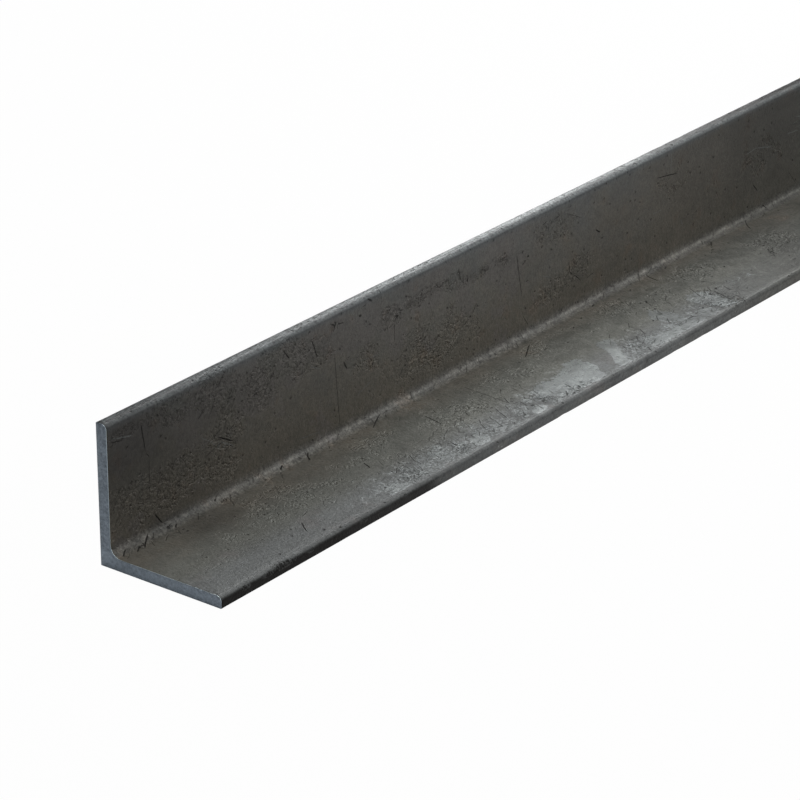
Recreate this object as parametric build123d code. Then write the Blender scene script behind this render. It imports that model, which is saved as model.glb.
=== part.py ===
from build123d import *
import os

# A hot-rolled equal-leg steel angle, sawn to a stock length.
# It lies on one leg, with the other leg standing up at -X. The bar runs along Y.
# The origin is at floor level, under the middle of the bar.

# Driving sizes, in millimetres.
LEG = 70.0  # outside width of each leg, heel to toe
THICKNESS = 6.0  # both legs
ROOT_RADIUS = 5.8  # fillet of the inside corner
TOE_RADIUS = 2.7  # rounded inner edge of each toe
CORNER_RADIUS = 0.3  # heel, and the outer edge of each toe
LENGTH = 1000.0  # one stock length
CUT_BEVEL = 0.2  # burr taken off all round each sawn end

# Places across the bar. Heights are measured from the floor, so they need no names of their own.
HEEL_X = -LEG / 2
TOE_X = LEG / 2
INNER_X = HEEL_X + THICKNESS


def round_corners(section, corners, radius):
    """Rounds the corners of the outline that are at these places."""
    vertices = [section.vertices().sort_by_distance(place)[0] for place in corners]
    fillet(vertices, radius)


def rolled_section():
    """The L outline: sharp heel, filleted root, and toes rounded on the inside only."""
    root = (INNER_X, THICKNESS)
    heel = (HEEL_X, 0)
    lying_toe_outer, lying_toe_inner = (TOE_X, 0), (TOE_X, THICKNESS)
    standing_toe_outer, standing_toe_inner = (HEEL_X, LEG), (INNER_X, LEG)
    far_end = Plane.XZ.offset(-LENGTH / 2)  # this plane faces the near end, at -Y
    with BuildSketch(far_end) as section:
        with BuildLine():
            Polyline(
                heel,
                lying_toe_outer,
                lying_toe_inner,
                root,
                standing_toe_inner,
                standing_toe_outer,
                close=True,
            )
        make_face()
        round_corners(section, [root], ROOT_RADIUS)
        round_corners(section, [lying_toe_inner, standing_toe_inner], TOE_RADIUS)
        round_corners(section, [heel, lying_toe_outer, standing_toe_outer], CORNER_RADIUS)
    return section.sketch


def angle_bar():
    """The section rolled along Y, with the burr taken off both sawn ends."""
    bar = extrude(rolled_section(), amount=LENGTH)
    edges_along_bar = bar.edges().group_by(Axis.Y)
    return chamfer(edges_along_bar[0] + edges_along_bar[-1], CUT_BEVEL)


os.makedirs("parts", exist_ok=True)
export_step(angle_bar(), "parts/angle_bar.step")
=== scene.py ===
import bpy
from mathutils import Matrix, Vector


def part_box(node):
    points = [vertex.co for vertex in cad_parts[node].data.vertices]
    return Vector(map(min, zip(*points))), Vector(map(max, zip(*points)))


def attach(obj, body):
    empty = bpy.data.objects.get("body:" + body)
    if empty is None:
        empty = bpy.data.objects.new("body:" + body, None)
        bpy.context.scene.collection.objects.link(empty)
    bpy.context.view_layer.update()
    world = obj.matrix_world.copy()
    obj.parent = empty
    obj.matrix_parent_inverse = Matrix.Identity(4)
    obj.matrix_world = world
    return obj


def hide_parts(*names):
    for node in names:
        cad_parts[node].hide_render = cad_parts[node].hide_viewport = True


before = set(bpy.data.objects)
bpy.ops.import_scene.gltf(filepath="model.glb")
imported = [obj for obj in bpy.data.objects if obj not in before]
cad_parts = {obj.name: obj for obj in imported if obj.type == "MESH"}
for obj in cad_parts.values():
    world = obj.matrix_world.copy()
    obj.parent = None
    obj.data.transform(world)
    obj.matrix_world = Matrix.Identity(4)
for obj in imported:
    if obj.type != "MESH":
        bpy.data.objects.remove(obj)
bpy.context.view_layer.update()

import math
import random

import bmesh
import bpy
import numpy as np
from mathutils import Vector, noise

bl_info = {
    "name": "Rolled Angle Bar",
    "version": (1, 0, 0),
    "blender": (4, 5, 0),
    "location": "3D View > Sidebar > Angle Bar",
    "description": "A hot-rolled equal-leg angle bar with mill scale, wear and sawn ends",
    "category": "Add Mesh",
}

NODE = "angle_bar"
BODY = "root"
LOW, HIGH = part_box(NODE)
MM = 0.001


# ---------------------------------------------------------------- settings


def size_setting(name, default, description):
    """A length in metres that a user may set."""
    return bpy.props.FloatProperty(
        name=name, description=description, default=default, min=0.0, unit="LENGTH", precision=5
    )


def colour_setting(name, default, description):
    """A colour that a user may set."""
    return bpy.props.FloatVectorProperty(
        name=name,
        description=description,
        default=default,
        min=0.0,
        max=1.0,
        size=3,
        subtype="COLOR",
    )


class AngleBarSettings(bpy.types.PropertyGroup):
    """The bar's section and its mesh."""

    leg: size_setting("Leg", HIGH.z - LOW.z, "Outside width of each leg")
    length: size_setting("Length", HIGH.y - LOW.y, "Length between the sawn ends")
    thickness: size_setting("Thickness", 6 * MM, "Thickness of both legs")
    root_radius: size_setting("Root radius", 5.8 * MM, "Fillet of the inside corner")
    toe_radius: size_setting("Toe radius", 2.7 * MM, "Rounded inner edge of each toe")
    corner_radius: size_setting("Corner radius", 0.3 * MM, "Heel, and the outer edge of each toe")
    cut_bevel: size_setting("Cut bevel", 0.2 * MM, "Burr taken off round each sawn end")
    cell_across: size_setting("Cell across", 2.5 * MM, "Width of the mesh's cells across the legs")
    rows: bpy.props.IntProperty(
        name="Rows", description="Rows of cells along the bar", default=650, min=1
    )


class FinishSettings(bpy.types.PropertyGroup):
    """Colours of the steel."""

    warm_scale: colour_setting("Warm scale", (0.162, 0.149, 0.125), "Brownish scale near the root")
    mauve_scale: colour_setting("Mauve scale", (0.158, 0.149, 0.145), "Patches with a mauve cast")
    olive_scale: colour_setting("Olive scale", (0.149, 0.152, 0.137), "By the root, and far out")
    cool_scale: colour_setting("Cool scale", (0.145, 0.1525, 0.1515), "Greyer scale near the toes")
    top_scale: colour_setting("Top scale", (0.139, 0.1525, 0.156), "Bluer, on the standing toe")
    # Pale flakes' colour, which also paints the sheen on the lying leg and the highlight on the
    # standing toe's top.
    flake_and_highlight: colour_setting("Flake", (0.252, 0.271, 0.271), "Smooth bluish flakes of scale")
    # Colour of pits, nicks and strokes, which also paints shade on the lying toe's face.
    grime_and_shade: colour_setting("Dirt", (0.018, 0.017, 0.016), "Pits, nicks and the burnt toe")
    rust: colour_setting("Rust", (0.16, 0.085, 0.045), "Faint rust in the scale")
    sawn: colour_setting("Sawn steel", (0.225, 0.265, 0.31), "Bare steel of the sawn ends")


class StageSettings(bpy.types.PropertyGroup):
    """The camera and the floor."""

    camera_from_heel: bpy.props.FloatVectorProperty(
        name="Camera from heel",
        description="The camera's place from the near end's heel corner, in leg widths",
        default=(13.762, -14.809, 10.146),
        size=3,
        subtype="XYZ",
    )
    azimuth: bpy.props.FloatProperty(
        name="Azimuth",
        description="Turn of the view about Z",
        default=math.radians(37.5),
        subtype="ANGLE",
    )
    elevation: bpy.props.FloatProperty(
        name="Elevation",
        description="How far the view looks down",
        default=math.radians(24.08),
        subtype="ANGLE",
    )
    lens: bpy.props.FloatProperty(
        name="Lens",
        description="Focal length, on a 36 mm sensor",
        default=159.18,
        min=1.0,
        unit="CAMERA",
    )
    floor_colour: colour_setting("Floor colour", (0.8, 0.8, 0.8), "Colour of the floor")
    floor_white: bpy.props.FloatProperty(
        name="Floor white",
        description="Share of plain white that the camera sees in the floor",
        default=0.98,
        min=0.0,
        max=1.0,
        subtype="FACTOR",
    )
    floor_mirrored: bpy.props.FloatProperty(
        name="Floor mirrored",
        description="Share of plain white that reflections see in the floor",
        default=0.15,
        min=0.0,
        max=1.0,
        subtype="FACTOR",
    )


# ---------------------------------------------------------------- mesh by hand


def pick(obj, kind, test):
    """Selects the vertices, edges or faces of the mesh in edit mode that pass the test."""
    bpy.ops.mesh.select_mode(type=kind)
    bpy.ops.mesh.select_all(action="DESELECT")
    cage = bmesh.from_edit_mesh(obj.data)
    for item in {"VERT": cage.verts, "EDGE": cage.edges, "FACE": cage.faces}[kind]:
        if test(item):
            item.select_set(True)
    cage.select_flush_mode()
    bmesh.update_edit_mesh(obj.data)


def steps(low, high, cell):
    """Evenly spaced places from low to high, about a cell apart."""
    count = max(1, round((high - low) / cell))
    return [low + (high - low) * k / count for k in range(count + 1)]


def roll_bar(s):
    """The bar with its exact section, as a grid of cells fine enough to carry its wear."""
    heel_x, toe_x = -s.leg / 2, s.leg / 2
    inner_x = heel_x + s.thickness
    near, same_cut = 0.01 * MM, 0.02 * MM  # closer than this is the same place
    longest_unsplit = 10 * MM

    def runs_along(edge):
        a, b = (v.co for v in edge.verts)
        return abs(a.y - b.y) > s.length / 2

    def lies_at(edge, x, z):
        return all(abs(v.co.x - x) < near and abs(v.co.z - z) < near for v in edge.verts)

    def bounds_cut(edge):
        at_ends = all(abs(abs(v.co.y) - s.length / 2) < near for v in edge.verts)
        return at_ends and not runs_along(edge)

    def round_edges(places, radius, segments):
        pick(bar, "EDGE", lambda e: runs_along(e) and any(lies_at(e, *place) for place in places))
        bpy.ops.mesh.bevel(
            offset=radius, segments=segments, profile=0.5, affect="EDGES", clamp_overlap=False
        )

    bpy.ops.object.select_all(action="DESELECT")
    bpy.ops.mesh.primitive_cube_add(
        size=1, location=(0, 0, s.thickness / 2), scale=(s.leg, s.length, s.thickness)
    )
    bar = bpy.context.object
    bar.name = bar.data.name = "rolled_angle_bar"
    bpy.ops.object.transform_apply(location=True, rotation=True, scale=True)

    # The standing leg is drawn up from the heel's strip of the lying leg.
    bpy.ops.object.mode_set(mode="EDIT")
    bpy.ops.mesh.select_all(action="SELECT")
    bpy.ops.mesh.bisect(plane_co=(inner_x, 0, 0), plane_no=(1, 0, 0))
    pick(bar, "FACE", lambda f: f.normal.z > 0.9 and f.calc_center_median().x < inner_x)
    bpy.ops.mesh.extrude_region_move(TRANSFORM_OT_translate={"value": (0, 0, s.leg - s.thickness)})
    bpy.ops.mesh.select_all(action="SELECT")
    bpy.ops.mesh.dissolve_limited(angle_limit=math.radians(1))

    root_segments, toe_segments, corner_segments = 8, 6, 3
    round_edges([(inner_x, s.thickness)], s.root_radius, root_segments)
    round_edges([(toe_x, s.thickness), (inner_x, s.leg)], s.toe_radius, toe_segments)
    round_edges([(heel_x, 0), (toe_x, 0), (heel_x, s.leg)], s.corner_radius, corner_segments)
    pick(bar, "EDGE", bounds_cut)
    bpy.ops.mesh.bevel(
        offset=s.cut_bevel, segments=2, profile=0.5, affect="EDGES", clamp_overlap=False
    )

    # Cuts across the section, the same for both legs, measured from the heel.
    cuts = steps(s.thickness + s.root_radius, s.leg - s.toe_radius, s.cell_across)
    cuts += [s.thickness * share for share in (1 / 3, 2 / 3)]
    for k in range(1, root_segments):
        angle = math.pi / 2 * k / root_segments
        cuts.append(s.thickness + s.root_radius * (1 - math.sin(angle)))
    for cut in cuts:
        for place, normal in (((heel_x + cut, 0, 0), (1, 0, 0)), ((0, 0, cut), (0, 0, 1))):
            bpy.ops.mesh.select_all(action="SELECT")
            bpy.ops.mesh.bisect(plane_co=place, plane_no=normal, threshold=same_cut)

    # Rows along the bar, in two passes because one takes at most a hundred cuts.
    first = round(math.sqrt(s.rows))
    for parts in (first, round(s.rows / first)):
        pick(bar, "EDGE", lambda e: abs(e.verts[0].co.y - e.verts[1].co.y) > longest_unsplit)
        bpy.ops.mesh.subdivide(number_cuts=parts - 1)
    bpy.ops.object.mode_set(mode="OBJECT")
    return bar


# ---------------------------------------------------------------- wear

# Marks are placed in millimetres: along from the near end, and across from the root line, which
# is negative up the standing leg and positive out on the lying leg.
# Lines: the two ends, the width, and how strong.
DARK_LINES = (
    ((22.8, -57), (25.3, -42), 0.9, 1.0),
    ((27.5, -38), (26.7, -18), 0.7, 0.6),
    ((30, -9.7), (35.3, -2.2), 1.0, 1.0),
    ((157, -59), (168, -56.5), 0.8, 0.9),
    ((143, -56.5), (147.5, -45.5), 0.9, 0.9),
    ((160, -45), (164, -3), 0.7, 0.6),
    ((306.6, -49.3), (312, -22.7), 0.8, 0.7),
    ((206.6, -44), (206.8, -33), 0.7, 0.6),
    ((377, -38.7), (381.5, -36), 1.0, 1.0),
    ((350, -56), (365, -49), 0.6, 0.4),
    ((432.5, -50.7), (454, -47.3), 0.8, 0.9),
    ((530, -18), (535, -13), 1.0, 0.9),
    ((482, 4), (473, 12), 0.9, 0.8),
    ((493, 33), (487, 40), 1.0, 0.8),
    ((258, -55), (260, -48), 0.9, 0.8),
    ((265, -50), (266, -45), 0.9, 0.8),
    ((316, -43), (318, -43), 1.4, 0.9),
    ((487, -47), (489, -46), 1.4, 0.7),
    ((353, -24), (357, -20), 0.6, 0.6),
    ((359, -19), (364, -15), 0.6, 0.6),
    ((72.5, 53.5), (78.5, 45), 0.9, 0.9),
    ((2, -54.5), (11, -53), 0.8, 0.7),
    ((143, 34.7), (146, 28), 1.0, 1.0),
    ((203, 32), (206, 18), 0.9, 0.9),
    ((227.5, 53), (234, 39.7), 0.7, 0.6),
    ((242.5, 45), (245, 11), 0.8, 0.5),
    ((292.5, 16.3), (308, 8), 0.9, 1.0),
    ((468, 14), (483, 4), 0.8, 0.9),
    ((511.7, 11), (520, 1.3), 0.9, 1.0),
    ((485, 43), (497, 34), 1.0, 0.7),
    ((3, 4.5), (8, 0.5), 1.0, 0.9),
    ((10.5, 6.5), (16, 2.5), 1.0, 0.9),
    ((15.5, 6.5), (24.5, -1.5), 1.0, 1.0),
    ((39, 4), (42, 1.5), 1.1, 0.9),
    ((39.8, 10), (41.2, 10), 1.6, 1.0),
    ((69, 0), (70.5, 0), 1.6, 1.0),
    ((368, 5), (370.5, 4), 1.2, 0.9),
    ((351, 9.5), (353, 9), 1.2, 0.9),
    ((338.5, 13.5), (340.5, 13), 1.2, 0.9),
    ((389, 25), (392, 22), 1.4, 0.9),
    ((431, 31), (433, 32), 1.6, 0.9),
    ((427.5, 42.5), (429.5, 41.5), 1.5, 0.9),
    ((371, 41), (373, 40), 1.2, 0.8),
    ((401, 52), (403, 51), 1.2, 0.8),
    ((456, 29.5), (458, 28.5), 1.2, 0.8),
    ((398, 8.5), (400, 7.5), 1.3, 0.8),
    ((435, 5.5), (437, 4.5), 1.2, 0.8),
    ((15, 64.5), (18, 69), 1.6, 1.0),
    ((19, 66.5), (20.5, 69), 1.3, 0.9),
    ((30.5, 65.5), (33, 69.5), 1.5, 1.0),
    ((33.5, 64.5), (33, 67.5), 1.8, 1.0),
    ((36.5, 66), (35, 69.5), 1.4, 1.0),
    ((38.5, 64), (40.5, 69), 1.7, 1.0),
    ((42.5, 63.5), (41.5, 66), 1.9, 1.0),
    ((44, 66.5), (45.5, 69.5), 1.5, 1.0),
    ((46.5, 63.5), (45.5, 65.5), 1.8, 1.0),
    ((49, 64.5), (50, 68.5), 1.6, 1.0),
    ((53, 65), (52, 67), 1.4, 0.9),
    ((85, 62), (86.5, 62.5), 1.8, 1.0),
    ((62, 65), (63.5, 68), 1.4, 0.7),
    ((167, -37), (170, -32), 1.0, 0.9),
    ((313, -12), (318, -5), 0.8, 0.5),
    ((122, -58), (127, -52), 0.9, 0.9),
    ((162, -59), (159, -54.5), 0.8, 0.8),
    ((186, -63), (189, -60.5), 1.6, 0.9),
    ((179, -56.5), (181, -55.5), 1.6, 0.9),
    ((207, -47), (210, -46), 1.3, 0.9),
    ((425, 42), (420, 58), 0.9, 0.8),
    ((420, 31), (414, 42), 0.9, 0.7),
    ((115, 3), (118, 0.2), 1.2, 1.0),
    ((132.5, 7), (136.7, 0.5), 1.3, 1.0),
    ((179, 8), (193, 0.5), 0.8, 0.9),
    ((418.5, 13), (421, 2), 1.0, 1.0),
    ((540, -3), (542, 1), 1.2, 1.0),
    ((74, -31.5), (86, -25), 0.9, 1.0),
    ((74.7, -21.7), (75.2, -19.2), 1.2, 0.8),
)
LIGHT_LINES = (
    ((1.7, -56.3), (18, -53), 0.9, 0.9),
    ((176.7, -15.5), (189, -19.7), 0.8, 1.0),
    ((133, -9), (151, -6.7), 0.8, 0.8),
    ((572, -46), (590, -42), 0.8, 1.0),
    ((330, -28), (338, -25), 0.8, 0.8),
    ((446, -61), (447, -56), 0.9, 0.7),
    ((446.5, -54), (447, -50), 0.9, 0.6),
    ((430, -31), (439, -31), 0.9, 0.7),
    ((458, -20), (460, -16), 1.4, 1.0),
    ((521, -38), (532, -39), 1.0, 0.9),
    ((532, -39), (548, -35), 1.0, 0.9),
    ((563, -38), (576, -37), 1.0, 0.8),
    ((142, -43), (150, -39), 0.8, 0.7),
    ((178, -33), (196, -31), 0.8, 0.6),
    ((63, -35), (71, -30), 0.8, 0.6),
    ((71, -29.5), (77, -23.5), 0.9, 0.8),
    ((75, -29), (86.5, -22.5), 0.8, 1.0),
)
# Outlines of pale flakes of scale, each after its strength.
FLAKES = (
    (0.80, (127, 62), (139, 62), (142, 59), (143, 54), (139, 54), (132, 58)),
    (0.80, (163, 50), (169, 54), (171, 56), (177, 56), (180, 54), (179, 50), (178, 46), (173, 44),
     (167, 44)),
    (0.95, (191, 62), (203, 61), (207, 57), (209, 54), (208, 49), (205, 48), (198, 52), (194, 54)),
    (0.95, (211, 62), (217, 62), (221, 58), (220, 53), (217, 53), (215, 56)),
    (1.60, (241, 58), (243.5, 54.5), (248, 53), (251.5, 55), (252, 59), (248.5, 61.5), (243, 63),
     (240.5, 61)),
    (0.75, (208, 64), (211, 62), (222, 61.5), (229, 62.5), (231, 64.5)),
    (1.15, (256, 49), (261, 44), (267, 41), (273, 41), (278, 44), (284, 43), (290, 41), (298, 37.5),
     (303, 36.5), (307, 39), (306, 45), (307, 51), (303, 55), (300, 58), (303, 61), (297, 62),
     (289, 61), (281, 60), (278, 58), (272, 59), (265, 58), (263, 54), (258, 52)),
    (1.60, (330, 35), (334, 35.5), (337, 38), (334, 43), (330, 46.5), (325.5, 50), (323, 56),
     (320, 60), (316, 60.5), (315, 58), (318, 53), (322, 49), (324, 45.5), (327, 42.5),
     (327, 39)),
    (0.85, (338, 61), (364, 61), (366, 54), (356, 50), (345, 50), (336, 56)),
    (1.20, (380, 32), (384, 34), (387, 42), (385, 48), (380, 51), (378, 46), (373, 44), (372, 40)),
    (1.20, (383, 50), (388, 53), (400, 51), (405, 55), (409, 61), (392, 60), (382, 62), (372, 62),
     (365, 61), (359, 58), (362, 54), (369, 54), (374, 56)),
    (1.05, (410, 36), (417, 37), (421, 42), (420, 50), (420, 58), (419, 63), (412, 62), (410, 57),
     (406, 49), (405, 43)),
    (0.80, (440, 40), (454, 39), (461, 43), (460, 50), (453, 53), (446, 50), (438, 46)),
)
# Outlines of smooth, even patches with neither frosted speckle nor painted sheen, each after its
# strength.
BARE_PATCHES = (
    (1.0, (213, 45), (215, 48), (218, 50), (223, 46), (225, 40), (224, 37), (222, 35), (217, 34),
     (212, 40)),
    (1.0, (302, 58), (305, 60), (309, 60), (313, 57), (318, 52), (322, 48), (325, 43.5), (325, 39),
     (320, 37.5), (315, 37), (309, 41), (308, 46), (307, 51), (303, 55)),
    (0.9, (239, 57), (246, 52), (251, 51), (254, 53), (255, 57), (254, 61), (248, 64), (242, 65),
     (236, 64), (235, 61)),
    (1.0, (352, 48), (360, 51), (369, 47), (375, 43), (372, 39), (367, 39), (362, 41), (355, 43)),
    (1.0, (388, 45), (393, 44), (395, 38), (400, 34), (390, 33), (385, 36), (388, 41)),
)
# Ovals: along and across of the middle, half the length, half the width, the turn in degrees, and
# how strong. First the dark crusts along the lying toe, then rough and smooth ground.
CRUSTS = (
    (41, 67, 11, 4.4, 0, 1.0),
    (17, 67, 3.4, 4.0, 0, 0.9),
    (62, 66.5, 3.0, 3.0, 0, 0.7),
    (101, 66, 3.0, 2.4, 0, 0.8),
    (132, 65, 2.4, 1.8, 0, 0.8),
    (205, 64.5, 2.0, 1.4, 0, 0.8),
)
ROUGH_SPOTS = (
    (28, -20, 34, 13, 0, 1.0),
    (50, -26, 14, 8, 0, 0.9),
    (74, -53, 15, 11, 0, 1.2),
    (80, -32, 13, 12, 0, 1.0),
    (104, -46, 13, 11, 0, 1.2),
    (134, -47, 22, 8, 0, 0.8),
    (75, -13, 16, 7, 0, 0.8),
    (185, -33, 14, 8, 0, 0.7),
    (238, -22, 40, 15, 0, 0.75),
    (44, -55, 18, 8, 0, 0.9),
    (340, -17, 16, 8, 0, 0.7),
    (362, -21, 11, 8, -30, 1.0),
    (340, -52, 16, 8, 0, 0.7),
    (92, 24, 30, 21, 0, 0.6),
    (40, 22, 20, 12, 0, 0.3),
    (160, 42, 20, 12, -20, 0.6),
    (160, 20, 34, 12, 0, 0.45),
    (218, 30, 30, 14, 0, 0.42),
    (268, 20, 24, 14, 0, 0.42),
    (345, 52, 14, 10, 0, 0.55),
    (395, 28, 24, 16, 0, 0.5),
    (415, 50, 12, 14, 0, 0.8),
    (375, 16, 14, 9, 0, 0.8),
    (256, 52, 6, 6, 0, 0.8),
    (276, 58, 16, 3, 0, 0.6),
    (233, 55, 8, 6, 0, 0.7),
    (186, 53, 6, 8, 0, 0.5),
    (150, 54, 10, 8, 0, 0.4),
    (338, 52, 6, 8, 0, 0.4),
    (320, 14, 30, 10, 0, 0.5),
    (225, -51, 14, 4, 0, 1.0),
    (262, -48, 14, 4, 0, 1.0),
    (206, -48, 10, 6, 0, 0.9),
    (120, -58, 14, 8, 0, 0.7),
    (14, -56, 12, 4, 0, 0.8),
    (440, 20, 20, 10, 0, 0.8),
    (500, 30, 20, 12, 0, 0.8),
    (450, -44, 20, 10, 0, 0.45),
    (540, -34, 24, 12, 0, 0.5),
)
SMOOTH_SPOTS = (
    (22, -42, 24, 11, 0, 0.9),
    (67, -42, 9, 6, 0, 1.0),
    (145, -30, 22, 9, 0, 1.0),
    (222, -58, 26, 5, 0, 1.0),
    (268, -54, 9, 6, 0, 1.0),
    (290, -56, 17, 5, 0, 1.0),
    (328, -37, 15, 6, 0, 1.0),
    (400, -45, 24, 12, 0, 0.8),
    (385, -12, 40, 6, 0, 0.9),
    (140, -10, 50, 4, 0, 0.9),
    (58, 12, 17, 9, 0, 1.1),
    (125, 10, 28, 6, 0, 1.0),
    (175, 33, 16, 7, 0, 0.9),
    (240, 12, 18, 8, 0, 0.9),
    (470, 40, 28, 18, 0, 1.1),
)
# Soft ovals, which end with how much lighter or darker their middle is.
TONE_PATCHES = (
    (56, 14, 22, 11, 0, -0.22),
    (515, -51, 16, 9, 0, -0.15),
    (290, -56, 20, 6, 0, 0.10),
    (312, 49, 9, 8, 20, 0.06),
    (217, 42, 7, 7, 0, 0.24),
    (325, 48, 15, 4, -49, 0.42),
    (298, 46, 14, 9, 0, 0.14),
    (246, 59, 6, 6, 0, 0.5),
    (248, 58, 18, 9, 0, -0.14),
    (383, 46, 8, 9, 0, 0.08),
    (240, -35, 110, 30, 0, 0.12),
    (210, 34, 60, 12, 0, 0.07),
    (118, 24, 36, 16, 0, -0.09),
    (220, 50, 45, 12, 0, 0.11),
    (335, 32, 18, 16, 0, 0.12),
    (285, 42, 26, 10, 0, 0.09),
    (388, 50, 20, 14, 0, -0.14),
    (425, 52, 26, 10, 0, -0.10),
    (505, 56, 35, 18, 0, -0.17),
    (345, 42, 20, 18, 0, -0.05),
)
# Nicks in the lying toe's upper edge: along, half the length, half the width, and the depth.
TOE_NICKS = (
    (16.5, 1.8, 2.6, 0.25),
    (31, 2.0, 2.6, 0.2),
    (37, 2.2, 3.0, 0.25),
    (43, 2.4, 3.0, 0.3),
    (62, 2.2, 2.4, 0.15),
    (79, 2.2, 2.6, 0.2),
    (101, 2.0, 2.4, 0.15),
)
# Groups of dashes: the middle, half the size, how many, and the way they run in degrees.
DASHES = (
    ((204, 46), (20, 12), 20, -50),
    ((252, 44), (14, 14), 16, -55),
    ((268, 56), (14, 7), 12, -60),
    ((345, 48), (14, 14), 16, -45),
    ((392, 42), (18, 18), 22, -45),
    ((430, 42), (12, 14), 8, -50),
    ((160, 44), (14, 12), 9, -60),
    ((92, 24), (20, 18), 12, -30),
    ((20, 4), (18, 5), 8, -40),
    ((78, -29), (10, 7), 10, -24),
    ((75, -52), (12, 9), 9, -40),
    ((104, -46), (10, 9), 8, -60),
    ((28, -20), (26, 11), 10, -45),
    ((48, -24), (12, 7), 5, -40),
    ((238, -22), (34, 13), 16, -35),
    ((362, -21), (11, 8), 9, -34),
    ((90, 1), (80, 4), 9, -60),
    ((270, 1), (100, 4), 14, -60),
    ((460, 1), (90, 4), 12, -60),
    ((340, -52), (14, 7), 6, -30),
)
# A crinkled seam in the scale, as places along and across.
SEAM = (
    (196, -43),
    (206, -50),
    (215, -50),
    (227, -49),
    (234, -51),
    (243, -51),
    (253, -51),
    (260, -51),
    (270, -45),
    (276, -48),
    (283, -47),
    (292, -49),
    (304, -45),
)


def oval_reach(places, along, across, half_long, half_short, turn):
    """How far out each place is in this oval: 0 in the middle and 1 on the edge."""
    turn = math.radians(turn)
    away = places - (along, across)
    lengthwise = away @ (math.cos(turn), math.sin(turn)) / half_long
    sidewise = away @ (-math.sin(turn), math.cos(turn)) / half_short
    return np.hypot(lengthwise, sidewise)


def outline_distance(places, outline):
    """How far each place lies outside this outline, in millimetres: negative inside."""
    corners = np.array(outline, dtype=float)
    nearest = np.full(len(places), np.inf)
    inside = np.zeros(len(places), dtype=bool)
    for start, end in zip(corners, np.roll(corners, -1, axis=0)):
        side = end - start
        away = places - start
        share = np.clip(away @ side / (side @ side), 0, 1)
        nearest = np.minimum(nearest, np.hypot(*(away - share[:, None] * side).T))
        crosses = (start[1] > places[:, 1]) != (end[1] > places[:, 1])
        rise = side[1] if side[1] else 1.0
        inside ^= crosses & (places[:, 0] < start[0] + (places[:, 1] - start[1]) / rise * side[0])
    return np.where(inside, -nearest, nearest)


def inside_ovals(places, ovals):
    """1 inside the ovals, a half on their edges, and 0 outside, times how strong each is."""
    highest = np.zeros(len(places))
    for *oval, strength in ovals:
        highest = np.maximum(highest, strength * np.clip(1.5 - oval_reach(places, *oval), 0, 1))
    return highest


def inside_outlines(places, outlines, steepness):
    """1 well inside the outlines, about a half on them, and 0 outside, times how strong each is.
    The steepness is how fast this falls with each millimetre.
    """
    highest = np.zeros(len(places))
    for strength, *outline in outlines:
        share = np.clip(0.6 - outline_distance(places, outline) * steepness, 0, 1)
        highest = np.maximum(highest, strength * share)
    return highest


def soft_patches(places, ovals):
    """The gains of all soft ovals together, each full in its middle and gone past its edge."""
    total = np.zeros(len(places))
    for *oval, gain in ovals:
        total += gain * np.clip(1.3 - oval_reach(places, *oval), 0, 1)
    return total


def draw_lines(places, lines):
    """For each place, where it is by the nearest line: sideways in half widths, lengthwise in half
    lengths, and how strong the line is, which is 0 a few millimetres away.
    """
    spread = 3.6
    nearest = np.full(len(places), np.inf)
    layer = np.zeros((len(places), 3))
    for start, end, width, strength in lines:
        start, end = np.array(start), np.array(end)
        half_length = np.linalg.norm(end - start) / 2
        direction = (end - start) / (2 * half_length)
        away = places - (start + end) / 2
        lengthwise = away @ direction / half_length
        sideways = away @ (-direction[1], direction[0])
        beyond = np.maximum(np.abs(lengthwise) - 1, 0) * half_length
        distance = np.hypot(beyond, sideways)
        closer = distance < nearest
        nearest[closer] = distance[closer]
        near_strength = strength * (distance < spread)
        values = np.stack([sideways * 2 / width, lengthwise, near_strength], axis=1)
        layer[closer] = values[closer]
    return layer


def scatter_lines(draw, count, length_range, start):
    """Random scratches, from this far along the bar, that keep clear of each other."""
    bar_end, widest, clearance = 996, 60, 14
    lines = []
    middles = []
    for _ in range(count * 4):
        if len(lines) == count:
            break
        half = draw.uniform(*length_range) / 2
        turn = draw.uniform(0, math.pi)
        middle = np.array([draw.uniform(start, bar_end), draw.uniform(-widest, widest)])
        reach = half * np.array([math.cos(turn), math.sin(turn)])
        if any(np.hypot(*(middle - other)) < clearance for other in middles):
            continue
        middles.append(middle)
        width, strength = draw.uniform(0.5, 0.9), draw.uniform(0.4, 1.0)
        lines.append((middle - reach, middle + reach, width, strength))
    return lines


def scatter_dashes(draw, middle, half_size, count, turn, taken):
    """Short scratches about one way, inside a rectangle, that keep clear of each other."""
    clearance, stray = 6, 24
    dashes = []
    for _ in range(count * 8):
        if len(dashes) == count:
            break
        place = np.array([m + draw.uniform(-h, h) for m, h in zip(middle, half_size)])
        angle = math.radians(turn + draw.uniform(-stray, stray))
        reach = draw.uniform(1.2, 4.0) * np.array([math.cos(angle), math.sin(angle)])
        middles = [(np.array(a) + b) / 2 for a, b, _, _ in taken + dashes]
        if any(np.hypot(*(place - other)) < clearance for other in middles):
            continue
        width, strength = draw.uniform(0.6, 1.0), draw.uniform(0.5, 1.0)
        dashes.append((place - reach, place + reach, width, strength))
    return dashes


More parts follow.
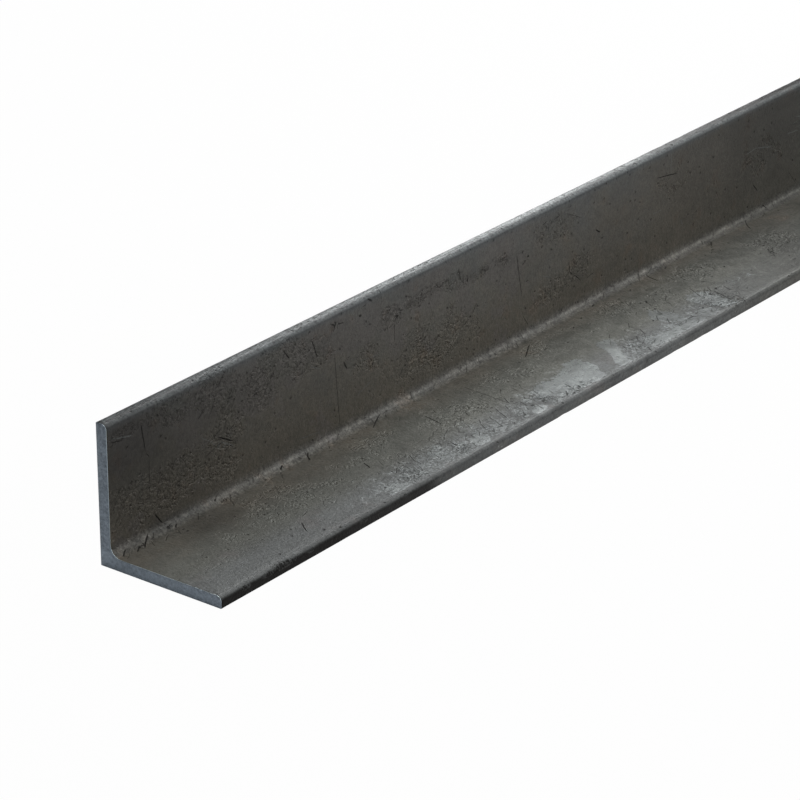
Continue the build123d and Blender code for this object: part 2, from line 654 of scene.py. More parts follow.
def mark_wear(bar, s):
    """Writes where the bar is scratched, flaked, pitted and stained into its mesh's layers."""
    count = len(bar.data.vertices)
    corners = np.empty(count * 3)
    bar.data.vertices.foreach_get("co", corners)
    corners = corners.reshape(count, 3) / MM
    from_back = corners[:, 0] + s.leg / 2 / MM
    height = corners[:, 2]
    places = np.stack([corners[:, 1] + s.length / 2 / MM, from_back - height], axis=1)
    # The tables' marks lie on the inner faces, so the places on the outer ones are moved away.
    inner = np.minimum(from_back, height) > s.thickness / 2 / MM
    far_away = 1e4
    inner_places = places + np.where(inner, 0, far_away)[:, None] * (0, 1)

    draw = random.Random(7)
    far_scratches = scatter_lines(draw, count=60, length_range=(6, 26), start=570)
    outer_scratches = scatter_lines(draw, count=110, length_range=(6, 30), start=4)
    dashes = []
    for middle, half_size, dash_count, turn in DASHES:
        dashes += scatter_dashes(draw, middle, half_size, dash_count, turn, dashes)
    strays = draw_lines(inner_places, far_scratches)
    strays[~inner] = draw_lines(places[~inner], outer_scratches)

    flaked = inside_outlines(inner_places, FLAKES, 0.16)
    rough = inside_ovals(inner_places, ROUGH_SPOTS)
    bare = inside_outlines(inner_places, BARE_PATCHES, 0.25)
    smooth = np.maximum(inside_ovals(inner_places, SMOOTH_SPOTS), bare)
    tone = soft_patches(inner_places, TONE_PATCHES)
    seam = np.interp(inner_places[:, 0], *np.array(SEAM).T, left=-999, right=-999)
    from_seam = np.clip(inner_places[:, 1] - seam, -9, 9)
    layers = {
        "dark_lines": draw_lines(inner_places, DARK_LINES),
        "light_lines": draw_lines(inner_places, LIGHT_LINES),
        "stray_lines": strays,
        "dashes": draw_lines(inner_places, dashes),
        "zones": np.stack([flaked, rough, smooth], axis=1),
        "stains": np.stack([tone, from_seam, inside_ovals(inner_places, CRUSTS)], axis=1),
    }
    for name, values in layers.items():
        layer = bar.data.attributes.new(name, "FLOAT_VECTOR", "POINT")
        layer.data.foreach_set("vector", values.ravel())


def edge_nicks(s):
    """Nicks along the bar's edges: the edge's place in the section, along, half sizes and depth."""
    draw = random.Random(11)
    nicks_per_edge, half_wide = 26, 2.2
    lying_toe, standing_toe, heel = (s.leg, s.thickness), (s.thickness, s.leg), (0.0, 0.0)
    edges = (lying_toe, standing_toe, heel, (s.leg, 0.0), (0.0, s.leg))
    nicks = [(*lying_toe, *(value * MM for value in nick)) for nick in TOE_NICKS]
    for edge in edges:
        for _ in range(nicks_per_edge):
            along, half_long = draw.uniform(60, 990) * MM, draw.uniform(1.6, 4.5) * MM
            nicks.append((*edge, along, half_long, half_wide * MM, draw.uniform(0.04, 0.14) * MM))
    return nicks


def press_hollows(bar, s):
    """Presses the bar's edge nicks and slight rolled unevenness into its surface, always inward."""
    deepest, wave_length, wave_depth = 1.0 * MM, 22 * MM, 0.03 * MM
    kept_flat, fade = 2 * MM, 3 * MM  # by the sawn ends
    hollows = bar.vertex_groups.new(name="hollows")
    nicks = edge_nicks(s)
    for vertex in bar.data.vertices:
        x, along, z = vertex.co.x + s.leg / 2, vertex.co.y + s.length / 2, vertex.co.z
        from_cut = min(along, s.length - along)
        clear_of_ends = min(1, max(0, (from_cut - kept_flat) / fade))
        depth = (noise.noise(Vector((x, along * 0.6, z)) / wave_length) + 1) * wave_depth
        for nick_x, nick_z, nick_along, half_long, half_wide, nick_depth in nicks:
            if abs(along - nick_along) < half_long * 2:
                sideways = math.hypot(x - nick_x, z - nick_z) / half_wide
                reach = math.hypot((along - nick_along) / half_long, sideways)
                depth += nick_depth * max(0.0, 1 - reach) ** 0.7
        hollows.add([vertex.index], min(1.0, depth * clear_of_ends / deepest), "REPLACE")
    press = bar.modifiers.new("press", "DISPLACE")
    press.vertex_group, press.strength, press.mid_level = hollows.name, -deepest, 0.0
    bpy.ops.object.modifier_apply(modifier=press.name)
    bar.vertex_groups.clear()


def lay_out_map(bar, s):
    """Unrolls the bar for baked pictures: front, back and foot, each as two halves side by side."""
    front, side, gap = 2 * s.leg, s.leg, 3 * MM
    half = front + 2 * side + 3 * gap
    sheet = 2 * half
    layout = bar.data.uv_layers.new(name="OFBake")
    for face in bar.data.polygons:
        far = face.center.y > 0
        end = abs(face.normal.y) > 0.7
        back = face.normal.x < -0.7
        foot = face.normal.z < -0.7
        for corner in face.loop_indices:
            place = bar.data.vertices[bar.data.loops[corner].vertex_index].co
            x, z = place.x + s.leg / 2, place.z
            if end:
                u, v = gap + x + far * (side + gap), s.length / 2 + 2 * gap + z
            else:
                if back:
                    across = front + gap + z
                elif foot:
                    across = front + side + 2 * gap + x
                else:
                    across = s.leg + x - z
                u, v = far * half + gap + across, gap + abs(place.y)
            layout.data[corner].uv = (u / sheet, v / sheet)


# ---------------------------------------------------------------- materials


class Value:
    """A shader socket in an expression: each operation adds its Math node."""

    def __init__(self, finish, socket):
        self.finish, self.socket = finish, socket

    def math(self, operation, *terms):
        return self.finish.node("ShaderNodeMath", {"operation": operation}, terms)

    def __add__(self, other):
        return self.math("ADD", self, other)

    def __sub__(self, other):
        return self.math("SUBTRACT", self, other)

    def __rsub__(self, other):
        return self.math("SUBTRACT", other, self)

    def __mul__(self, other):
        return self.math("MULTIPLY", self, other)

    def __abs__(self):
        return self.math("ABSOLUTE", self)

    __radd__, __rmul__ = __add__, __mul__

    def least(self, other):
        return self.math("MINIMUM", self, other)

    def most(self, other):
        return self.math("MAXIMUM", self, other)

    def below(self, other):
        return self.math("LESS_THAN", self, other)

    def ramp(self, low, high):
        """Goes smoothly from 0 at low to 1 at high. Either of the two may be the lower one."""
        settings = {"interpolation_type": "SMOOTHSTEP"}
        return self.finish.node("ShaderNodeMapRange", settings, (self, low, high, 0.0, 1.0))


class Finish:
    """A material under construction, on object coordinates in millimetres."""

    def __init__(self, name):
        self.material = bpy.data.materials.new(name)
        self.material.use_nodes = True
        self.tree = self.material.node_tree
        self.shader = self.tree.nodes["Principled BSDF"]
        place = self.node("ShaderNodeTexCoord", {}, {}, "Object")
        self.place = self.scaled(place, 1 / MM)

    def node(self, kind, settings, values, output=0):
        """Adds a node, fills or links its sockets, and returns one of its outputs."""
        node = self.tree.nodes.new(kind)
        for name, value in settings.items():
            setattr(node, name, value)
        for key, value in values.items() if isinstance(values, dict) else enumerate(values):
            self.feed(node.inputs[key], value)
        return Value(self, node.outputs[output])

    def feed(self, socket, value):
        """Links or sets one socket."""
        if isinstance(value, Value):
            self.tree.links.new(value.socket, socket)
        elif socket.type == "RGBA":
            socket.default_value = (*value, 1)
        else:
            socket.default_value = value

    def parts(self, vector, kind="ShaderNodeSeparateXYZ"):
        first = self.node(kind, {}, (vector,))
        return [Value(self, output) for output in first.socket.node.outputs]

    def joined(self, x, y, z):
        return self.node("ShaderNodeCombineXYZ", {}, (x, y, z))

    def scaled(self, vector, share):
        sockets = {"Vector": vector, "Scale": share}
        return self.node("ShaderNodeVectorMath", {"operation": "SCALE"}, sockets)

    def added(self, a, b):
        return self.node("ShaderNodeVectorMath", {"operation": "ADD"}, (a, b))

    def blend(self, share, a, b):
        """Goes from colour a to colour b, both as vectors, as the share goes from 0 to 1."""
        return self.node("ShaderNodeMix", {"data_type": "VECTOR"}, {0: share, 4: a, 5: b}, 1)

    def grain(self, vector, millimetres, detail=2.0, roughness=0.5):
        """Noise with features about this size, from -1 to 1 or so, mostly within 0.5."""
        sockets = {
            "Vector": vector,
            "Scale": 1 / millimetres,
            "Detail": detail,
            "Roughness": roughness,
        }
        return self.node("ShaderNodeTexNoise", {}, sockets) * 2 - 1

    def shaken(self, vector, millimetres, reach):
        """The vector moved about by noise, so that lines drawn on it aren't straight."""
        sockets = {"Vector": vector, "Scale": 1 / millimetres, "Detail": 2.0}
        tossing = self.node("ShaderNodeTexNoise", {}, sockets, "Color")
        tosses = self.parts(tossing, "ShaderNodeSeparateColor")
        moves = [toss * (2 * reach) - reach for toss in tosses]
        return self.added(vector, self.joined(*moves))

    def pits(self, vector, millimetres, share, radius=0.42):
        """Round pits, one to a cell: 1 at the bottom and 0 outside. The share of cells may vary."""
        sockets = {"Vector": vector, "Scale": 1 / millimetres}
        distance = self.node("ShaderNodeTexVoronoi", {}, sockets, "Distance")
        cell_colour = Value(self, distance.socket.node.outputs["Color"])
        draw = self.parts(cell_colour, "ShaderNodeSeparateColor")[0]
        return distance.ramp(radius, radius * 0.35) * draw.below(share)

    def layer(self, name):
        """The three values that the mesh holds in this layer."""
        return self.parts(self.node("ShaderNodeAttribute", {"attribute_name": name}, {}, "Vector"))

    def drawn(self, layer, wobble):
        """The marks drawn in a layer of the mesh: 1 along each line, less at its ends, 0 off it."""
        sideways, lengthwise, strength = self.layer(layer)
        line = abs(sideways + wobble).ramp(1.0, 0.35)
        return line * abs(lengthwise).ramp(1.05, 0.6) * strength

    def finish(self, colour, metallic, roughness, height=None):
        """Feeds the shader. The height is in millimetres."""
        sockets = {"Base Color": colour, "Metallic": metallic, "Roughness": roughness}
        for name, value in sockets.items():
            self.feed(self.shader.inputs[name], value)
        if height is not None:
            normal = self.node(
                "ShaderNodeBump", {}, {"Strength": 1.0, "Distance": MM, "Height": height}, "Normal"
            )
            self.feed(self.shader.inputs["Normal"], normal)
        return self.material


class BarPlaces:
    """Where a point of the bar is, in millimetres, and masks for the parts of its section."""

    def __init__(self, f, s):
        self.leg, thickness = s.leg / MM, s.thickness / MM
        root_radius, round_starts = s.root_radius / MM, (s.leg - s.toe_radius) / MM
        x, y, self.up = f.parts(f.place)
        self.back = x + self.leg / 2  # from the standing leg's outer face
        self.end = y + s.length / 2 / MM  # from the near sawn end
        self.root = (self.back - thickness).most(self.up - thickness)  # from the inside corner
        self.out = self.back - self.up  # negative up the standing leg, positive on the lying one
        self.tip = self.back.most(self.up)  # toward either toe
        self.lying = self.out.ramp(-6, 12)
        self.standing = 1 - self.lying
        self.rounded = self.tip.ramp(round_starts - 0.6, round_starts + 0.8)
        inside = self.back.least(self.up).ramp(3, 5)
        self.fillet = self.root.ramp(root_radius + 1.5, root_radius * 0.2) * inside
        self.top = self.up.ramp(self.leg - 1.5, self.leg - 0.3)
        self.flat_top = self.top * self.back.ramp(4.4, 3.0)
        # How strong the painted far shade is: full up to 600 mm, and half past 900 mm.
        self.far_share = 0.5 + self.end.ramp(900, 600) * 0.5


class ScaleGrain:
    """The scale's uneven grain from coarse to fine, each from -1 to 1 or so."""

    def __init__(self, f):
        self.broad = f.grain(f.place, 60.0, 3.0)
        self.tint = f.grain(f.place, 24.0, 4.0, 0.65)
        self.patchy = f.grain(f.place, 14.0, 3.0, 0.6)
        self.ragged = f.grain(f.place, 4.5, 5.0, 0.7)
        self.folds = f.grain(f.place, 4.2, 2.0, 0.6)
        self.pebbles = f.grain(f.place, 1.5, 2.0, 0.8)


class ScaleWear:
    """Masks for the scale's wear and its painted sheen: 0 where there is none and 1 where it is
    full.
    """

    def __init__(self, f, at, grain):
        patchy, ragged, pebbles = grain.patchy, grain.ragged, grain.pebbles
        flake_level, rough_level, smooth_level = f.layer("zones")
        self.tone_patch, seam_offset, self.crust_level = f.layer("stains")

        # Pale flakes and frosted speckle, with edges broken up by the grain, and a painted sheen.
        # Painted sheen: pale speckle over the lying leg's outer part along its middle stretch,
        # where light falls on it.
        painted_sheen = at.lying * at.root.ramp(24, 56)
        painted_sheen = painted_sheen * at.end.ramp(60, 150) * at.end.ramp(450, 380) * 0.45
        bare = (smooth_level + ragged * 0.7).ramp(0.48, 0.56)
        flakes_and_sheen = flake_level.most(painted_sheen)
        by_flakes = flakes_and_sheen.ramp(0.25, 0.50)
        uneven = ragged * (0.6 + by_flakes * 0.2) + pebbles * by_flakes * 0.6 + patchy * 0.3
        uneven = uneven - at.lying * bare * 0.4 - at.rounded * 0.5
        self.flakes = (flakes_and_sheen + uneven).ramp(0.57, 0.61)
        frost_and_sheen = (flake_level * 0.6).most(painted_sheen) + uneven
        self.frost_and_sheen = frost_and_sheen.ramp(0.15, 0.60) * (1 - bare * 0.6)
        self.smooth = bare.most(self.flakes * 0.9 - rough_level * 0.7)

        # Grit on rough ground and along the seam, where the scale has folded and cracked.
        from_seam = abs(seam_offset + ragged * 4.5 + pebbles * 0.8)
        grit = (rough_level + patchy * 0.9 + ragged * 0.7).ramp(0.30, 0.70)
        grit = grit * (1 - self.smooth * 0.85)
        self.grit = grit.most(from_seam.ramp(4.0, 1.0) * (patchy * 2.0 + 0.6))
        seam = from_seam.ramp(1.2, 0.3) * (pebbles * 0.9 + patchy * 1.4).ramp(0.0, 0.2)
        self.creases = abs(grain.folds).ramp(0.20, 0.0)

        # Pits, which crowd where there is grit and on the standing toe, and small bright specks.
        tossed = f.shaken(f.place, 2.0, 0.5)
        toe_share = at.up.ramp(at.leg - 4, at.leg - 2.5) * 0.12
        self.far_grain = at.lying * at.end.ramp(110, 220)
        self.pits = f.pits(tossed, 2.4, self.grit * 0.55 + 0.02 + toe_share)
        self.fine_pits = f.pits(tossed, 1.2, self.grit * 0.45 + 0.06 + self.far_grain * 0.10)
        self.specks = f.pits(tossed, 4.6, 0.10, 0.13)

        # Strokes, and the crumbling crust and the face of the lying toe, where painted shade goes
        # near the cut end.
        wobble = ragged * 1.3
        darks = f.drawn("dark_lines", wobble).most(f.drawn("stray_lines", wobble) * 0.5)
        self.darks = darks.most(f.drawn("dashes", wobble) * 0.7).most(seam * 0.55)
        self.lights = f.drawn("light_lines", wobble)
        self.crumbs = pebbles * 1.6 + ragged * 0.8
        self.crust = (self.crust_level + self.crumbs).ramp(0.75, 1.0)
        below_lip = (at.up + ragged * 0.5).ramp(5.5, 3.5)
        self.toe_face = at.back.ramp(at.leg - 2.9, at.leg - 2.4) * below_lip


def scale_colour(f, at, grain, wear, colours):
    """The scale's colour: warm at the root, cooler toward the toes, flakes pale, with a painted
    sheen.
    """
    far_warm = at.end.ramp(400, 530) * (0.4 - at.lying * 0.35) + at.end.ramp(500, 570) * 0.3
    below_toe = at.standing * at.root.ramp(30, 44) * at.root.ramp(63, 58) * 0.16
    near_band = at.lying * at.root.ramp(34, 24) * 0.3 + at.standing * 0.1
    near_warm = at.end.ramp(200, 110) * at.root.ramp(8, 14) * near_band
    warmth = (at.root * (1 + at.lying * 1.6)).ramp(84, 6) * 0.8 + far_warm + below_toe + near_warm
    warmth = warmth + grain.tint * 0.4 + grain.patchy * 0.25 + 0.10
    warmth = warmth - at.lying * at.end.ramp(560, 500) * 0.25 + wear.toe_face * 0.35
    warmth = warmth.ramp(0.0, 1.0)

    olive = (at.lying * at.root.ramp(52, 34)).most(at.end.ramp(360, 520) * (0.6 + at.lying * 0.4))
    mauve = (grain.tint + at.root.ramp(20, 50) * 0.3 - at.lying * 0.3).ramp(0.10, 0.35)
    rust = (grain.patchy + warmth * 0.25).ramp(0.38, 0.62)
    colour = f.blend(olive, colours.cool_scale, colours.olive_scale)
    colour = f.blend(warmth - at.fillet * 0.45, colour, colours.warm_scale)
    colour = f.blend(mauve * at.end.ramp(340, 300) * 0.5, colour, colours.mauve_scale)
    colour = f.blend(at.end.ramp(430, 580) * 0.5, colour, colours.olive_scale)
    colour = f.blend(at.up.ramp(at.leg - 5, at.leg - 0.5) * 0.9, colour, colours.top_scale)
    colour = f.blend(rust * 0.14, colour, colours.rust)

    # Pale speckle of the frosted scale and of the painted sheen on the lying leg.
    speckled = (wear.frost_and_sheen * (0.62 + grain.pebbles * 1.1 + grain.ragged * 0.6)).ramp(0.0, 1.0)
    pale = (speckled * 0.75).most(wear.flakes * (0.72 + grain.patchy * 0.4))
    return f.blend(pale, colour, colours.flake_and_highlight)


def painted_leg_light(at):
    """Painted light on the legs' faces: lighter from the standing toe down and out to the lying
    one.
    """
    # Painted shade far out on the lying leg.
    far_loss = at.end.ramp(385, 450) * 0.2 + at.end.ramp(450, 540) * 0.12
    tone = 0.84 + at.out.ramp(-50, 14) * 0.48 - at.out.ramp(22, 50) * 0.14
    return tone - at.lying * at.root.ramp(24, 50) * far_loss


def shade_along(at):
    """How much painted shade darkens the bar toward both of its ends."""
    near_share = 0.16 + at.root.ramp(10, 44) * 0.24 - at.root.ramp(60, 63) * 0.38
    near = at.standing * at.end.ramp(140, 0) * near_share
    near_cut = at.end.ramp(60, 10) * (at.standing * at.root.ramp(28, 44) * 0.13 - at.lying * 0.11)
    far = at.end.ramp(390, 580) * (0.28 + at.root.ramp(10, 50) * 0.24)
    far_toe = at.standing * at.root.ramp(50, 57) * at.end.ramp(390, 430) * 0.10
    far = far * (1 - at.rounded * 0.5) * at.far_share
    return near + near_cut + far + far_toe * (1 - at.rounded)


def painted_root_highlight(at, grain):
    """Painted light at the root: a highlight crest in a darker fillet, and paler strips beside it.
    """
    strips = at.root.ramp(1.6, 4.0) * at.root.ramp(16, 9) * (0.06 + at.out.ramp(0, 3) * 0.08)
    far_strip = at.out.ramp(0.5, 2.5) * at.root.ramp(5.5, 3.5) * at.end.ramp(300, 430) * 0.2
    crest = abs(at.out + grain.ragged * 1.6).ramp(1.7, 0.2) * (0.20 + grain.patchy * 0.3)
    return strips - far_strip + at.fillet * (crest * at.end.ramp(-60, 130) - 0.27)


def standing_toe_painted_light(at):
    """Painted light on the standing toe: highlights on its flat top and inner arc, a dull band
    between.
    """
    glow = 0.03 + at.end.ramp(40, 130) * 0.33 - at.end.ramp(300, 360) * 0.24
    glow = at.flat_top * (glow - at.end.ramp(480, 560) * 0.3)
    near_arc = (at.top - at.flat_top) * at.end.ramp(120, 60) * 0.16
    arc = at.back.ramp(4.3, 5.0) * at.up.ramp(at.leg - 2, at.leg - 0.8) * 0.26
    painted_dull_band = at.top * (at.back.ramp(2.4, 3.4) - at.back.ramp(4.0, 4.8)) * 0.16
    near_back = at.flat_top * at.back.ramp(2.9, 2.0) * at.end.ramp(120, 40) * 0.2
    return glow - near_arc + arc - painted_dull_band + near_back


def lying_toe_painted_light(at, grain, wear):
    """Painted light and shade on the lying toe: a dull lip above its face and a ragged pale edge.
    """
    leg = at.leg
    # Painted shade on the toe's face near the cut end, and a little painted light beyond.
    face = wear.toe_face * (0.05 - at.end.ramp(220, 160) * 0.2)
    lip = at.back.ramp(leg - 3.1, leg - 2.5) - at.back.ramp(leg - 1.7, leg - 1.3)
    lip = lip * (0.03 + at.end.ramp(200, 140) * 0.10 + at.end.ramp(80, 30) * 0.08)
    edge = at.back.ramp(leg - 2.6, leg - 2.2) - at.back.ramp(leg - 0.6, leg - 0.3)
    ragged_outer = (at.back + grain.ragged * 1.1).ramp(leg - 1.5, leg - 1.3)
    edge = edge * at.end.ramp(130, 180) * (0.10 - ragged_outer * 0.2)
    near_dull = at.tip.ramp(leg - 4, leg - 2.4) * at.end.ramp(180, 150)
    near_dull = near_dull * (at.end.ramp(40, 90) * 0.1 + 0.08)
    return face + at.lying * (edge - lip - near_dull - at.root.ramp(50, 60) * 0.12)


def far_top_shade(at):
    """How much painted shade darkens the standing toe's flat top far out along the bar."""
    shade = at.end.ramp(320, 400) * 0.3 + at.end.ramp(400, 560) * 0.4 + at.end.ramp(430, 520) * 0.12
    shade = shade + at.back.ramp(4.0, 0.5) * at.end.ramp(310, 370) * 0.24
    return at.flat_top * shade * at.far_share


def scale_tone(at, grain, wear):
    """How light the scale is, as a share of its colour: by painted light and shade, by blotch and
    by grain.
    """
    patchy, ragged = grain.patchy, grain.ragged
    # Painted shade on both toes' rounded edges: deeper near the cut end on the standing toe, gone
    # there on the lying toe.
    painted_arc_shade = 0.10 + at.standing * at.end.ramp(100, 50) * 0.10
    painted_arc_shade = painted_arc_shade - at.lying * at.end.ramp(210, 150) * 0.10
    painted_light = 1 - shade_along(at) - at.rounded * painted_arc_shade + painted_root_highlight(at, grain)
    painted_light = painted_light + standing_toe_painted_light(at) + lying_toe_painted_light(at, grain, wear)
    blotches = 1 + grain.broad * 0.16 + wear.tone_patch - wear.smooth * 0.05
    blotches = blotches + patchy * (0.18 + at.fillet * 0.3) + ragged * (0.30 + at.fillet * 0.7)
    blotches = blotches + (wear.far_grain * 0.35 + at.top * 0.6) * (ragged + patchy * 0.6)
    coarse = 0.50 + wear.grit * 0.5 + wear.frost_and_sheen * 0.9 - wear.flakes * 1.2
    coarse = coarse + at.fillet * 0.8 + at.top * 1.2 + wear.far_grain * 0.1
    return painted_leg_light(at) * painted_light * blotches * (1 + grain.pebbles * coarse)


def painted_shade_and_grime(at, grain, wear):
    """How much dark cover each point gets: grime in pits and strokes and on the crusted toe, and
    painted shade on the lying toe's face near the cut end.
    """
    # Painted shade on the lying toe's face, full up to about 150 mm from the near end and broken
    # where the crust crumbles.
    painted_toe_shade = wear.toe_face * (at.end + grain.ragged * 10).ramp(162, 148)
    painted_toe_shade = painted_toe_shade * (1 - at.end.ramp(70, 130) * 0.15)
    broken = wear.crust_level.ramp(0.2, 0.6) * wear.crumbs.ramp(0.05, -0.30)
    painted_toe_shade = painted_toe_shade * (1 - broken * 0.5)
    cover = (wear.pits * (0.45 + at.top * 0.3)).most(wear.fine_pits * 0.35).most(wear.darks * 0.9)
    return cover.most(painted_toe_shade).most(wear.crust * 0.6)


def pale_metal_and_highlight(at, grain, wear):
    """How much of the pale colour shows: bare metal in light scratches and specks, and a painted
    highlight on the standing toe's top.
    """
    top_highlight_reach = at.back.ramp(5.2, 1.5) * at.end.ramp(80, 125) * at.end.ramp(470, 410) * 0.6
    # Painted highlight on the standing toe's flat top, along its middle stretch and toward the
    # outer face, broken into patches by the grain.
    painted_top_highlight = at.top * (top_highlight_reach + grain.ragged * 0.7 + grain.patchy * 0.3).ramp(0.48, 0.58)
    return (wear.lights * 0.4).most(painted_top_highlight * 0.65).most(wear.specks * (0.35 + at.top * 0.4))


def mill_scale(s, colours):
    """Dark rolled scale: warmer at the root, pitted in places, scratched, with pale flakes, and
    painted light and shade.
    """
    f = Finish("mill_scale")
    at, grain = BarPlaces(f, s), ScaleGrain(f)
    wear = ScaleWear(f, at, grain)
    patchy, ragged, pebbles = grain.patchy, grain.ragged, grain.pebbles
    # Painted shade on the standing toe's flat top far out, which also makes it rougher.
    far_top = far_top_shade(at)
    # Grime and the lying toe's painted shade, which also make the scale more metallic.
    grime_and_shade = painted_shade_and_grime(at, grain, wear)

    colour = scale_colour(f, at, grain, wear, colours)
    colour = f.scaled(colour, scale_tone(at, grain, wear) * (1 - far_top))
    colour = f.blend(grime_and_shade, colour, colours.grime_and_shade)
    # Pale metal in scratches and specks, and the painted highlight on the standing toe's top.
    colour = f.blend(pale_metal_and_highlight(at, grain, wear), colour, colours.flake_and_highlight)

    metallic = 0.5 + wear.flakes * 0.15 + wear.lights * 0.2 + grime_and_shade * 0.4
    roughness = 0.46 + patchy * 0.05 + ragged * 0.06 + wear.pits * 0.15 - wear.flakes * 0.10
    roughness = roughness + wear.darks * 0.1 + far_top * (0.09 + at.end.ramp(520, 590) * 0.12)
    height = pebbles * (0.08 + wear.grit * 0.16) * (1 - wear.smooth * 0.6)
    height = height + patchy * 0.06 + ragged * (0.10 + wear.grit * 0.20)
    height = height + wear.flakes * 0.03 + wear.lights * 0.02
    height = height - wear.pits * 0.30 - wear.fine_pits * 0.14
    height = height - wear.darks * 0.25 - wear.crust * 0.3
    height = height - wear.creases * (0.03 + wear.grit * (0.25 + patchy * 0.25))
    return f.finish(colour, metallic, roughness, height)


def sawn_steel(s, colours):
    """Bare bluish steel with a fine bite and faint saw marks, its deburred edges and bottom painted
    lighter.
    """
    f = Finish("sawn_steel")
    speckle = f.grain(f.place, 1.3, 3.0, 0.75)
    mottle = f.grain(f.place, 4.0, 3.0, 0.6)
    x, y, z = f.parts(f.place)
    along_stroke, across_stroke = 0.06, 1.4  # the saw marks' stretch
    strokes = f.joined(x * along_stroke + z * across_stroke, y, z * along_stroke)
    strokes = f.grain(strokes, 1.0, 2.0)
    inner = (x + s.leg / MM / 2).least(z).ramp(2.5, 4.5)
    painted_rim_highlight = (s.length / MM / 2 - abs(y)).ramp(0.02, 0.10) * (0.4 + inner * 2.2)
    # Painted light: a highlight along the deburred edges, strongest on the inner ones, and a lift
    # toward the bottom.
    tone = 1.08 + speckle * 1.1 + mottle * 0.3 + strokes * 0.12 + painted_rim_highlight + z.ramp(12, 4) * 0.3
    roughness = 0.42 + speckle * 0.1
    height = speckle * 0.14 + strokes * 0.012
    return f.finish(f.scaled(colours.sawn, tone), 0.9, roughness, height)


def floor_paint(s):
    """Plain pale paint, which the camera sees as nearly white."""
    f = Finish("floor_paint")
    f.finish(s.floor_colour, 0.0, 0.9)
    camera, glossy, clear = (
        f.node("ShaderNodeLightPath", {}, {}, f"Is {ray} Ray")
        for ray in ("Camera", "Glossy", "Transmission")
    )
    share = (camera * s.floor_white).most(glossy.most(clear) * s.floor_mirrored)
    white = f.node("ShaderNodeEmission", {}, {"Color": (1, 1, 1), "Strength": 1.0})
    paint = Value(f, f.shader.outputs[0])
    mix = f.node("ShaderNodeMixShader", {}, (share, paint, white))
    f.feed(f.tree.nodes["Material Output"].inputs["Surface"], mix)
    return f.material


# ---------------------------------------------------------------- operators


class OBJECT_OT_add_angle_bar(bpy.types.Operator):
    """Model the rolled bar and give it its finish"""

    bl_idname = "object.add_angle_bar"
    bl_label = "Angle Bar"

    def execute(self, context):
        settings, colours = context.scene.angle_bar, context.scene.angle_finish
        bar = roll_bar(settings)
        mark_wear(bar, settings)
        lay_out_map(bar, settings)
        press_hollows(bar, settings)
        bar.data.materials.append(mill_scale(settings, colours))
        bar.data.materials.append(sawn_steel(settings, colours))
        bpy.ops.object.mode_set(mode="EDIT")
        end = settings.length / 2 - settings.cut_bevel
        pick(bar, "FACE", lambda f: abs(f.calc_center_median().y) > end)
        bar.active_material_index = 1
        bpy.ops.object.material_slot_assign()
        bpy.ops.object.mode_set(mode="OBJECT")
        bpy.ops.object.select_all(action="DESELECT")
        bar.select_set(True)
        context.view_layer.objects.active = bar
        bpy.ops.object.shade_smooth_by_angle(angle=math.radians(35))
        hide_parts(NODE)
        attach(bar, BODY)
        return {"FINISHED"}


# Each softbox: azimuth from +Y toward +X and elevation in degrees, distance, width and height
# in metres, and radiance.
SOFTBOXES = (
    ("softbox_back_low", -36, 22, 1.2, 0.25, 0.30, 9.6),
    ("softbox_back", -36, 40, 1.2, 0.30, 0.40, 5.2),
    ("softbox_back_high", -36, 60, 1.2, 0.40, 0.40, 2.0),
    ("softbox_behind", -12, 35, 1.2, 0.40, 0.40, 4.8),
    ("softbox_far_right", 10, 35, 1.2, 0.40, 0.40, 1.5),
    ("softbox_right", 35, 30, 1.2, 0.40, 0.40, 3.7),
    ("softbox_side", 90, 35, 1.2, 0.40, 0.40, 4.2),
    ("softbox_front", 175, 30, 1.2, 0.40, 0.40, 1.2),
    ("softbox_top", 0, 88, 1.2, 0.80, 0.80, 2.0),
)
LIT_PLACE = Vector((0, -0.15, 0.03))  # where they all point
FLOOR_SIDE = 16  # metres
SENSOR = 36  # millimetres
NEAREST_SEEN, FARTHEST_SEEN = 0.01, 100  # by the camera, in metres
STUDIO_AIR = (0.04, 0.04, 0.04, 1)  # the faint light from all round


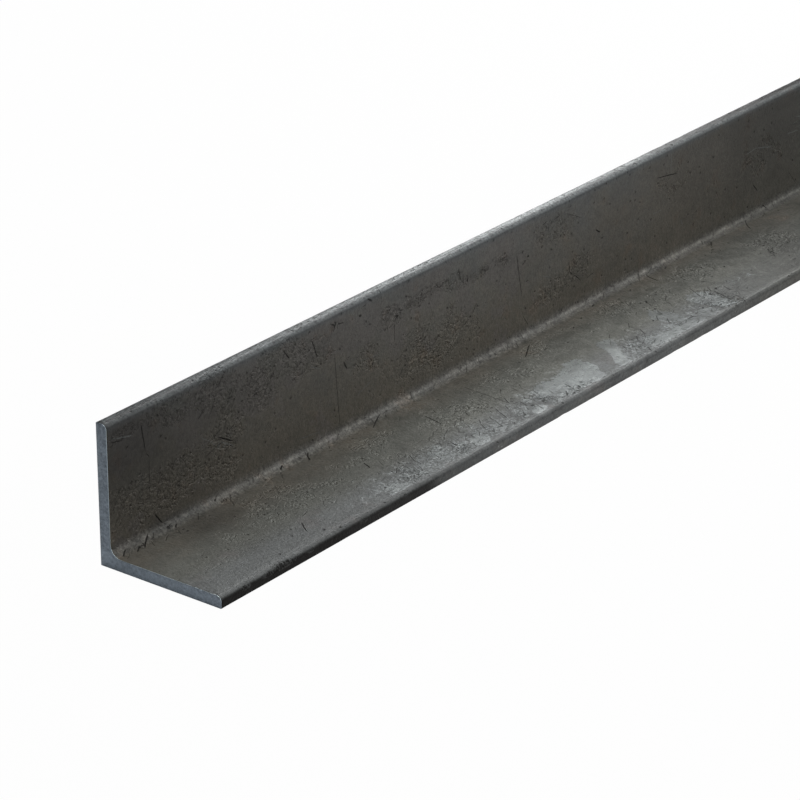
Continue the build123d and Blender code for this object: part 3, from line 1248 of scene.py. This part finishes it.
class SCENE_OT_add_stage(bpy.types.Operator):
    """Lay the floor and set up the lamps and the camera"""

    bl_idname = "scene.add_stage"
    bl_label = "Stage"

    def execute(self, context):
        s, bar = context.scene.angle_stage, context.scene.angle_bar
        bpy.ops.object.select_all(action="DESELECT")
        bpy.ops.mesh.primitive_plane_add(size=FLOOR_SIDE, location=(0, 0, 0))
        floor = context.object
        floor.name = floor.data.name = "floor"
        floor.data.materials.append(floor_paint(s))

        heel = Vector((-bar.leg / 2, -bar.length / 2, 0))
        bpy.ops.object.camera_add(location=heel + Vector(s.camera_from_heel) * bar.leg)
        camera = context.object
        camera.rotation_euler = (math.pi / 2 - s.elevation, 0, s.azimuth)
        camera.data.lens = s.lens
        camera.data.sensor_width = SENSOR
        camera.data.clip_start, camera.data.clip_end = NEAREST_SEEN, FARTHEST_SEEN
        context.scene.camera = camera

        for name, azimuth, elevation, distance, width, height, radiance in SOFTBOXES:
            turn, lift = math.radians(azimuth), math.radians(elevation)
            level = math.cos(lift)
            toward = Vector((math.sin(turn) * level, math.cos(turn) * level, math.sin(lift)))
            bpy.ops.object.light_add(type="AREA", location=LIT_PLACE + toward * distance)
            lamp = context.object
            lamp.name = name
            lamp.data.shape = "RECTANGLE"
            lamp.data.size, lamp.data.size_y = width, height
            lamp.data.energy = radiance * math.pi * width * height
            lamp.rotation_euler = toward.to_track_quat("Z", "Y").to_euler()
        world = bpy.data.worlds.new("studio")
        context.scene.world = world
        world.use_nodes = True
        world.node_tree.nodes["Background"].inputs["Color"].default_value = STUDIO_AIR
        context.scene.view_settings.view_transform = "Standard"
        return {"FINISHED"}


class VIEW3D_PT_angle_bar(bpy.types.Panel):
    """The bar's and the stage's operators and settings"""

    bl_label = "Angle Bar"
    bl_space_type = "VIEW_3D"
    bl_region_type = "UI"
    bl_category = "Angle Bar"

    def draw(self, context):
        scene = context.scene
        for groups, operator in (
            ((scene.angle_bar, scene.angle_finish), OBJECT_OT_add_angle_bar),
            ((scene.angle_stage,), SCENE_OT_add_stage),
        ):
            box = self.layout.box()
            for settings in groups:
                for name in settings.__annotations__:
                    box.prop(settings, name)
            box.operator(operator.bl_idname)


CLASSES = (
    AngleBarSettings,
    FinishSettings,
    StageSettings,
    OBJECT_OT_add_angle_bar,
    SCENE_OT_add_stage,
    VIEW3D_PT_angle_bar,
)


def register():
    for cls in CLASSES:
        bpy.utils.register_class(cls)
    bpy.types.Scene.angle_bar = bpy.props.PointerProperty(type=AngleBarSettings)
    bpy.types.Scene.angle_finish = bpy.props.PointerProperty(type=FinishSettings)
    bpy.types.Scene.angle_stage = bpy.props.PointerProperty(type=StageSettings)


def unregister():
    del bpy.types.Scene.angle_stage
    del bpy.types.Scene.angle_finish
    del bpy.types.Scene.angle_bar
    for cls in reversed(CLASSES):
        bpy.utils.unregister_class(cls)


def main():
    register()
    bpy.ops.object.add_angle_bar()
    bpy.ops.scene.add_stage()


if __name__ == "__main__":
    main()
